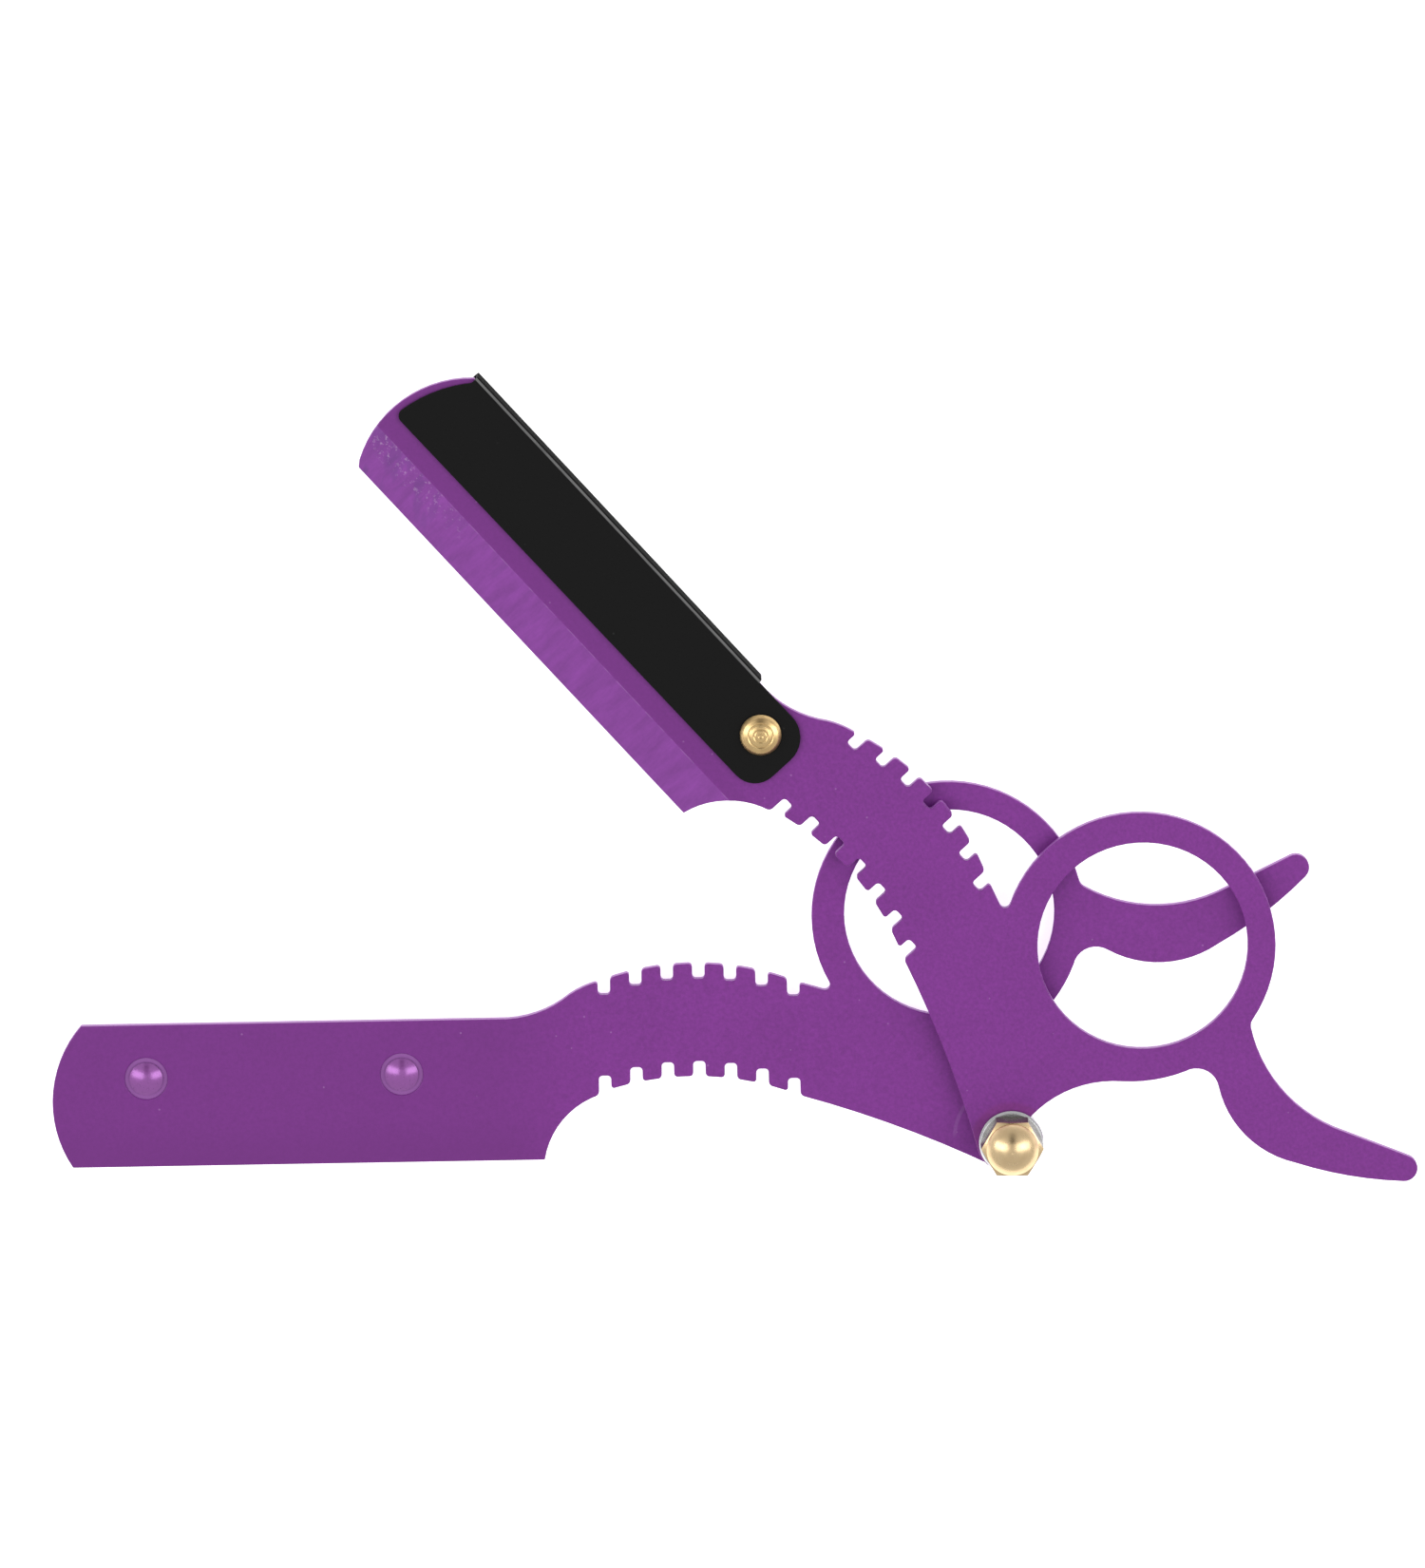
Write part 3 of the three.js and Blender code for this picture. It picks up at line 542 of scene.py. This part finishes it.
def rounded_profile(corners, steps=4):
    """Points of a turned profile from (radius, height, fillet) corners in millimetres, in metres."""
    points = []
    for i, (radius, height, fillet) in enumerate(corners):
        here = Vector((radius, height))
        if not fillet or i in (0, len(corners) - 1):
            points.append(here * MM)
            continue
        back = (Vector(corners[i - 1][:2]) - here).normalized()
        ahead = (Vector(corners[i + 1][:2]) - here).normalized()
        half = back.angle(ahead) / 2
        bisector = (back + ahead).normalized()
        middle = here + bisector * (fillet / math.sin(half))
        start = here + back * (fillet / math.tan(half)) - middle
        finish = here + ahead * (fillet / math.tan(half)) - middle
        sweep = start.angle_signed(finish)
        for k in range(steps + 1):
            points.append((middle + Matrix.Rotation(-sweep * k / steps, 2) @ start) * MM)
    return points


def dome(radius, rise, base, steps, last=0.0):
    """Corners up a dome from its rim to its crown, or to the radius `last`."""
    ball = (radius * radius + rise * rise) / (2 * rise)
    half = math.asin(min(1.0, radius / ball))
    if rise > radius:
        half = math.pi - half
    stop = math.asin(last / ball)
    return [(ball * math.sin(half + (stop - half) * k / steps),
             base + rise - ball * (1 - math.cos(half + (stop - half) * k / steps)), 0.0) for k in range(steps + 1)]


# ---- Geometry Nodes: turned pieces and the row of pegs ---------------------------------------------------------


class Tree(Nodes):
    """A Geometry Nodes group that is built in the script."""

    def __init__(self, name, inputs):
        self.group = bpy.data.node_groups.new(name, "GeometryNodeTree")
        super().__init__(self.group)
        self.group.interface.new_socket("Geometry", in_out="INPUT", socket_type="NodeSocketGeometry")
        self.names = {}
        for label, kind in inputs.items():
            socket = self.group.interface.new_socket(label, in_out="INPUT", socket_type=kind)
            self.names[label] = socket.identifier
        self.group.interface.new_socket("Geometry", in_out="OUTPUT", socket_type="NodeSocketGeometry")
        self.source = self.group.nodes.new("NodeGroupInput")
        self.result = self.group.nodes.new("NodeGroupOutput")

    def math(self, operation, *operands):
        return self.add("ShaderNodeMath", {"operation": operation}, dict(enumerate(operands))).outputs[0]

    def end(self, geometry):
        """Every tree ends in Realize Instances and Set Material."""
        whole = self.add("GeometryNodeRealizeInstances", None, {"Geometry": geometry}).outputs[0]
        painted = self.add("GeometryNodeSetMaterial", None,
                           {"Geometry": whole, "Material": self.source.outputs["Material"]}).outputs[0]
        self.group.links.new(painted, self.result.inputs[0])
        return self


def lathe_tree():
    """Turns the profile that it is given about Z: the profile's radius is its X and its height is its Z."""
    tree = Tree("Turned piece", {"Segments": "NodeSocketInt", "Centre": "NodeSocketVector",
                                 "Material": "NodeSocketMaterial"})
    profile, segments = tree.source.outputs["Geometry"], tree.source.outputs["Segments"]
    rows = tree.add("GeometryNodeAttributeDomainSize", {"component": "MESH"}, {"Geometry": profile}).outputs[0]
    grid = tree.add("GeometryNodeMeshGrid", None,
                    {"Vertices X": tree.math("ADD", segments, 1.0), "Vertices Y": rows}).outputs["Mesh"]
    index = tree.add("GeometryNodeInputIndex").outputs[0]
    column = tree.math("FLOOR", tree.math("DIVIDE", tree.math("ADD", index, 0.5), rows))
    row = tree.math("ROUND", tree.math("SUBTRACT", index, tree.math("MULTIPLY", column, rows)))
    place = tree.add("GeometryNodeInputPosition").outputs[0]
    sample = tree.add("GeometryNodeSampleIndex", {"data_type": "FLOAT_VECTOR", "domain": "POINT"},
                      {"Geometry": profile, "Value": place, "Index": row}).outputs["Value"]
    parts = tree.add("ShaderNodeSeparateXYZ", None, {0: sample}).outputs
    angle = tree.math("DIVIDE", tree.math("MULTIPLY", column, 2 * math.pi), segments)
    turned = tree.add("ShaderNodeCombineXYZ", None, {
        0: tree.math("MULTIPLY", parts[0], tree.math("COSINE", angle)),
        1: tree.math("MULTIPLY", parts[0], tree.math("SINE", angle)),
        2: parts[2],
    }).outputs[0]
    moved = tree.add("ShaderNodeVectorMath", {"operation": "ADD"}, {0: turned, 1: tree.source.outputs["Centre"]})
    shell = tree.add("GeometryNodeSetPosition", None, {"Geometry": grid, "Position": moved.outputs[0]}).outputs[0]
    closed = tree.add("GeometryNodeMergeByDistance", None, {"Geometry": shell, "Distance": 0.0008 * MM}).outputs[0]
    return tree.end(closed)


def row_tree(lathe):
    """A row of turned pegs, evenly spaced from the first one."""
    tree = Tree("Row of pegs", {"Segments": "NodeSocketInt", "Count": "NodeSocketInt", "First": "NodeSocketVector",
                                "Step": "NodeSocketVector", "Material": "NodeSocketMaterial"})
    inputs = tree.source.outputs
    peg = tree.add("GeometryNodeGroup", {"node_tree": lathe.group},
                   {"Geometry": inputs["Geometry"], "Segments": inputs["Segments"],
                    "Material": inputs["Material"]}).outputs[0]
    line = tree.add("GeometryNodeMeshLine", {"mode": "OFFSET", "count_mode": "TOTAL"},
                    {"Count": inputs["Count"], "Start Location": inputs["First"], "Offset": inputs["Step"]})
    row = tree.add("GeometryNodeInstanceOnPoints", None, {"Points": line.outputs[0], "Instance": peg}).outputs[0]
    return tree.end(row)


def grown(tree, profile, values):
    """Runs a tree on a profile and returns the plain mesh that it makes."""
    line = bpy.data.meshes.new("profile")
    line.from_pydata([(point.x, 0.0, point.y) for point in profile],
                     [(k, k + 1) for k in range(len(profile) - 1)], [])
    holder = bpy.data.objects.new("profile", line)
    bpy.context.scene.collection.objects.link(holder)
    modifier = holder.modifiers.new("Build", "NODES")
    modifier.node_group = tree.group
    for label, value in values.items():
        modifier[tree.names[label]] = value
    mesh = plain_mesh(holder)
    bpy.data.objects.remove(holder)
    bpy.data.meshes.remove(line)
    return mesh


def plain_mesh(target):
    """The target's mesh with all of its modifiers applied."""
    bpy.context.view_layer.update()
    graph = bpy.context.evaluated_depsgraph_get()
    return bpy.data.meshes.new_from_object(target.evaluated_get(graph), depsgraph=graph)


def cut(mesh, tool, operation):
    """Joins or cuts two closed meshes and returns the result."""
    objects = [bpy.data.objects.new(label, data) for label, data in (("blank", mesh), ("tool", tool))]
    for item in objects:
        bpy.context.scene.collection.objects.link(item)
    modifier = objects[0].modifiers.new("Cut", "BOOLEAN")
    modifier.operation = operation
    modifier.solver = "EXACT"
    modifier.object = objects[1]
    result = plain_mesh(objects[0])
    for item in objects:
        bpy.data.objects.remove(item)
    return result


def prism(outline, low, high):
    """A closed upright prism on a convex outline, in metres."""
    whole = bmesh.new()
    base = whole.faces.new([whole.verts.new((x, y, low)) for x, y in outline])
    raised = bmesh.ops.extrude_face_region(whole, geom=[base])["geom"]
    for item in raised:
        if isinstance(item, bmesh.types.BMVert):
            item.co.z = high
    bmesh.ops.recalc_face_normals(whole, faces=whole.faces)
    mesh = bpy.data.meshes.new("prism")
    whole.to_mesh(mesh)
    whole.free()
    return mesh


def smooth_by_angle(mesh, degrees=32):
    mesh.shade_smooth()
    mesh.set_sharp_from_angle(angle=math.radians(degrees))


# ---- Operators --------------------------------------------------------------------------------------------------


class RAZOR_OT_leaves(bpy.types.Operator):
    """Build both stamped leaves with rounded rims and a satin coat"""

    bl_idname = "razor.leaves"
    bl_label = "Leaves"

    def execute(self, context):
        settings = context.scene.razor_leaf
        for node, body, turn, outer_up in (("front_leaf", "front", FRONT_TURN, True),
                                           ("back_leaf", "back", BACK_TURN, False)):
            mesh = sheet_mesh(node + "_sheet", merged(node), settings.rounding, turn, settings.corner)
            coat = leaf_finish(node + "_coat", settings, turn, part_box(node)[1].z, outer_up)
            piece(node + "_sheet", mesh, coat, body, "leaf_purple", node)
        return {"FINISHED"}


class RAZOR_OT_pegs(bpy.types.Operator):
    """Turn the row of pegs that holds the half blade"""

    bl_idname = "razor.pegs"
    bl_label = "Blade pegs"

    def execute(self, context):
        settings = context.scene.razor_hardware
        low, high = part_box("blade_peg_tip")
        foot, crown = low.z / MM, high.z / MM
        head = (high.x - low.x) / 2 / MM
        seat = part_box("back_leaf")[1].z / MM - 0.15
        wall = 0.3
        profile = rounded_profile([
            (0, foot, 0), (SHANK, foot, 0.06), (SHANK, seat, 0), (head, seat, 0.05),
            *dome(head, crown - seat - wall, seat + wall, 14),
        ])
        first, last = centre_of("blade_peg_tip"), centre_of("blade_peg_heel")
        mesh = grown(row_tree(lathe_tree()), profile, {
            "Segments": settings.segments, "Count": 2, "First": (first.x, first.y, 0.0),
            "Step": (last.x - first.x, last.y - first.y, 0.0), "Material": None,
        })
        smooth_by_angle(mesh)
        piece("blade_pegs", mesh, peg_finish(context.scene.razor_leaf), "back", "leaf_purple",
              "blade_peg_tip", "blade_peg_heel")
        return {"FINISHED"}


class RAZOR_OT_cover(bpy.types.Operator):
    """Build the folded cover with its matte coat"""

    bl_idname = "razor.cover"
    bl_label = "Lock cover"

    def execute(self, context):
        settings = context.scene.razor_cover
        mesh = sheet_mesh("cover_sheet", merged("lock_cover"), settings.rounding, segments=2)
        piece("cover_sheet", mesh, cover_finish(settings), "cover", "cover_black", "lock_cover")
        return {"FINISHED"}


def turned(name, node, corners, segments, material, slot):
    """A turned piece of the front body, in place of a CAD node, from (radius, height, fillet) corners in mm."""
    centre = centre_of(node)
    mesh = grown(lathe_tree(), rounded_profile(corners), {"Segments": segments, "Centre": (centre.x, centre.y, 0.0)})
    smooth_by_angle(mesh)
    piece(name, mesh, material, "front", slot, node)


class RAZOR_OT_rivet(bpy.types.Operator):
    """Turn the brass rivet that the cover swings on"""

    bl_idname = "razor.rivet"
    bl_label = "Cover rivet"

    def execute(self, context):
        settings = context.scene.razor_hardware
        low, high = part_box("cover_rivet")
        head = (high.x - low.x) / 2 / MM
        foot, crown = low.z / MM, high.z / MM
        corners = [
            (0, foot, 0), (2.2, foot, 0.05), (SHANK, foot + 0.7, 0), (SHANK, crown - 1.0, 0),
            (head, crown - 1.0, 0.06), (head, crown - 0.78, 0.10), (2.05, crown - 0.36, 0.25),
            (1.52, crown - 0.14, 0.08), (1.40, crown - 0.22, 0.04), (1.22, crown - 0.09, 0.10),
            (0.86, crown - 0.02, 0.08), (0.74, crown - 0.11, 0.04), (0.60, crown - 0.02, 0.06),
            (0.32, crown, 0.06), (0.17, crown - 0.10, 0.04), (0, crown - 0.10, 0),
        ]
        finish = turned_finish("rivet_brass", centre_of("cover_rivet"), tuple(settings.rivet),
                               (0.60, 0.40, 0.19), 0.22, 3.2)
        turned("rivet", "cover_rivet", corners, settings.segments, finish, "turned_brass")
        return {"FINISHED"}


def on_pivot(corners, segments):
    """A plain mesh turned about the pivot."""
    values = {"Segments": segments, "Centre": (PIVOT.x, PIVOT.y, 0.0)}
    return grown(lathe_tree(), rounded_profile(corners), values)


def build_washers(segments, steel):
    """The washers on both sides of the leaves and the spacer between them."""
    for name, node, rim in (("washer_front", "front_washer", 0.25), ("washer_back", "back_washer", 0.06),
                            ("spacer", "leaf_spacer", 0.06)):
        low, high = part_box(node)
        radius, base, top = (high.x - low.x) / 2 / MM, low.z / MM, high.z / MM
        turned(name, node, [
            (BORE, base, 0), (radius, base, 0.05), (radius, top - rim, 0.04), (radius - rim, top, 0.06),
            (BORE, top, 0.04), (BORE, base, 0),
        ], segments, steel, "bright_steel")


def build_screw(segments, steel):
    """The screw up the pivot, with a driver's slot across its head."""
    low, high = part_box("pivot_screw")
    head, top = (high.x - low.x) / 2 / MM, high.z / MM
    screw = on_pivot([
        (0, 0, 0), (head - 0.35, 0, 0.2), (head, 0.35, 0.2), (head, 1.0, 0.05), (SHANK, 1.0, 0),
        (SHANK, top - 0.3, 0.05), (SHANK - 0.3, top, 0.05), (0, top, 0),
    ], segments)
    half_length, half_width, depth = 4.0 * MM, 0.4 * MM, 0.5 * MM
    corners = ((-1, -1), (1, -1), (1, 1), (-1, 1))
    slot = prism([(PIVOT.x + i * half_length, PIVOT.y + j * half_width) for i, j in corners], -1.0 * MM, depth)
    screw = cut(screw, slot, "DIFFERENCE")
    smooth_by_angle(screw)
    piece("screw", screw, steel, "front", "bright_steel", "pivot_screw")


def build_nut(settings):
    """The cap nut: a turned blank with a domed end, cut to its hexagon."""
    low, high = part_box("acorn_nut")
    base, crown = low.z / MM, high.z / MM
    flats = settings.nut_across_flats / MM
    shoulder = base + settings.nut_hexagon / MM
    corner = flats / math.sqrt(3)
    cap = flats / 2 - 0.115
    bore_end, neck, groove, rise = base + 3.9, shoulder + 0.25, 0.12, 1.6
    blank = on_pivot([
        (0, bore_end, 0), (BORE, bore_end, 0), (BORE, base, 0.05), (corner - 0.3, base, 0.05),
        (corner, base + 0.15, 0), (corner, shoulder - 0.3, 0), (cap, shoulder, 0.03),
        (cap - groove, shoulder, 0), (cap - groove, shoulder + 0.10, 0), (cap, neck, 0.05),
        *dome(cap, rise, neck, 26, 0.14)[1:], (0, crown - 0.05, 0),
    ], settings.segments)
    spokes = [Matrix.Rotation(i * math.pi / 3, 2) @ Vector((corner * MM, 0)) for i in range(6)]
    hexagon = [(PIVOT.x + spoke.x, PIVOT.y + spoke.y) for spoke in spokes]
    nut = cut(blank, prism(hexagon, (base - 1) * MM, (crown + 1) * MM), "INTERSECT")
    smooth_by_angle(nut, 24)
    # Below the hexagon's shoulder the flats take a painted shade in place of their dark reflection.
    brass = turned_finish("nut_brass", PIVOT, tuple(settings.brass), (0.74, 0.54, 0.30), 0.22, 1.1,
                          0.0008 * MM, tuple(settings.painted_flat_shade), (shoulder - 0.45) * MM)
    piece("cap_nut", nut, brass, "front", "turned_brass", "acorn_nut")


class RAZOR_OT_pivot(bpy.types.Operator):
    """Build the cap nut, the screw and the washers on the pivot"""

    bl_idname = "razor.pivot"
    bl_label = "Pivot hardware"

    def execute(self, context):
        settings = context.scene.razor_hardware
        steel = turned_finish("bright_plate", PIVOT, tuple(settings.steel), (0.50, 0.50, 0.52), 0.14, 2.6)
        build_washers(settings.segments, steel)
        build_screw(settings.segments, steel)
        build_nut(settings)
        return {"FINISHED"}


def studio_room(settings):
    """Even light from all round, but for the dark gap overhead between the soft boxes."""
    world = bpy.data.worlds.new("studio_room")
    world.use_nodes = True
    nodes = Nodes(world.node_tree)
    x, y, z = nodes.axes(nodes.add("ShaderNodeTexCoord").outputs["Generated"])
    gap = abs(x).step(0.19, 0.12) * y.step(0.14, 0.30) * y.step(0.92, 0.76) * z.step(0.3, 0.5)
    room = world.node_tree.nodes["Background"]
    nodes.feed(room.inputs["Color"], nodes.mix(gap, (1.0, 1.0, 1.0), tuple(settings.gap)))
    nodes.feed(room.inputs["Strength"], settings.room)
    return world


def soft_box(name, place, width, depth, power):
    """A large lamp that faces the middle of the razor."""
    light = bpy.data.lights.new(name, "AREA")
    light.shape = "RECTANGLE"
    light.size, light.size_y = width, depth
    light.energy = power
    lamp = bpy.data.objects.new(name, light)
    lamp.location = place
    lamp.rotation_mode = "QUATERNION"
    lamp.rotation_quaternion = (-Vector(place)).to_track_quat("-Z", "Y")
    bpy.context.scene.collection.objects.link(lamp)


class RAZOR_OT_stage(bpy.types.Operator):
    """Set up the pale floor, the soft light and the camera"""

    bl_idname = "razor.stage"
    bl_label = "Studio"

    def execute(self, context):
        scene, settings = context.scene, context.scene.razor_studio
        plane = bmesh.new()
        bmesh.ops.create_grid(plane, x_segments=1, y_segments=1, size=FLOOR_REACH)
        mesh = bpy.data.meshes.new("studio_floor")
        plane.to_mesh(mesh)
        plane.free()
        mesh.transform(Matrix.Translation((0, 0, -FLOOR_GAP)))
        mesh.materials.append(floor_finish(settings))
        floor = bpy.data.objects.new("studio_floor", mesh)
        scene.collection.objects.link(floor)

        scene.world = studio_room(settings)

        for name, side in (("soft_box_left", -1), ("soft_box_right", 1)):
            soft_box(name, (side * 0.62, 0.10, 0.72), 0.42, 0.9, settings.key_power)

        camera = bpy.data.cameras.new("studio_camera")
        camera.lens = settings.lens
        camera.sensor_width = 36.0
        camera.clip_start, camera.clip_end = 0.05, 20.0
        eye = bpy.data.objects.new("studio_camera", camera)
        axes = (Matrix.Rotation(settings.tilt, 3, "X") @ Matrix.Rotation(settings.yaw, 3, "Y")
                @ Matrix.Rotation(settings.roll, 3, "Z")).transposed()
        target = Vector(settings.target)
        eye.matrix_world = Matrix.Translation(target + axes.col[2] * settings.distance) @ axes.to_4x4()
        scene.collection.objects.link(eye)
        scene.camera = eye
        scene.view_settings.view_transform = "Standard"
        return {"FINISHED"}


# ---- Add-on ---------------------------------------------------------------------------------------------------


class RAZOR_PT_panel(bpy.types.Panel):
    """Buttons and settings for the razor's pieces"""

    bl_idname = "RAZOR_PT_panel"
    bl_label = "Razor"
    bl_space_type = "VIEW_3D"
    bl_region_type = "UI"
    bl_category = "Razor"

    def draw(self, context):
        for operator in OPERATORS:
            self.layout.operator(operator.bl_idname)
        for name, group in SETTINGS.items():
            box = self.layout.box()
            for field in group.__annotations__:
                box.prop(getattr(context.scene, name), field)


OPERATORS = (RAZOR_OT_stage, RAZOR_OT_leaves, RAZOR_OT_pegs, RAZOR_OT_cover, RAZOR_OT_rivet, RAZOR_OT_pivot)
SETTINGS = {
    "razor_leaf": LeafSettings,
    "razor_cover": CoverSettings,
    "razor_hardware": HardwareSettings,
    "razor_studio": StudioSettings,
}


def register():
    for item in (*SETTINGS.values(), *OPERATORS, RAZOR_PT_panel):
        bpy.utils.register_class(item)
    for name, group in SETTINGS.items():
        setattr(bpy.types.Scene, name, PointerProperty(type=group))


def unregister():
    for name in SETTINGS:
        delattr(bpy.types.Scene, name)
    for item in (RAZOR_PT_panel, *reversed(OPERATORS), *reversed(SETTINGS.values())):
        bpy.utils.unregister_class(item)


def main():
    register()
    for operator in OPERATORS:
        group, name = operator.bl_idname.split(".")
        getattr(getattr(bpy.ops, group), name)()


if __name__ == "__main__":
    main()
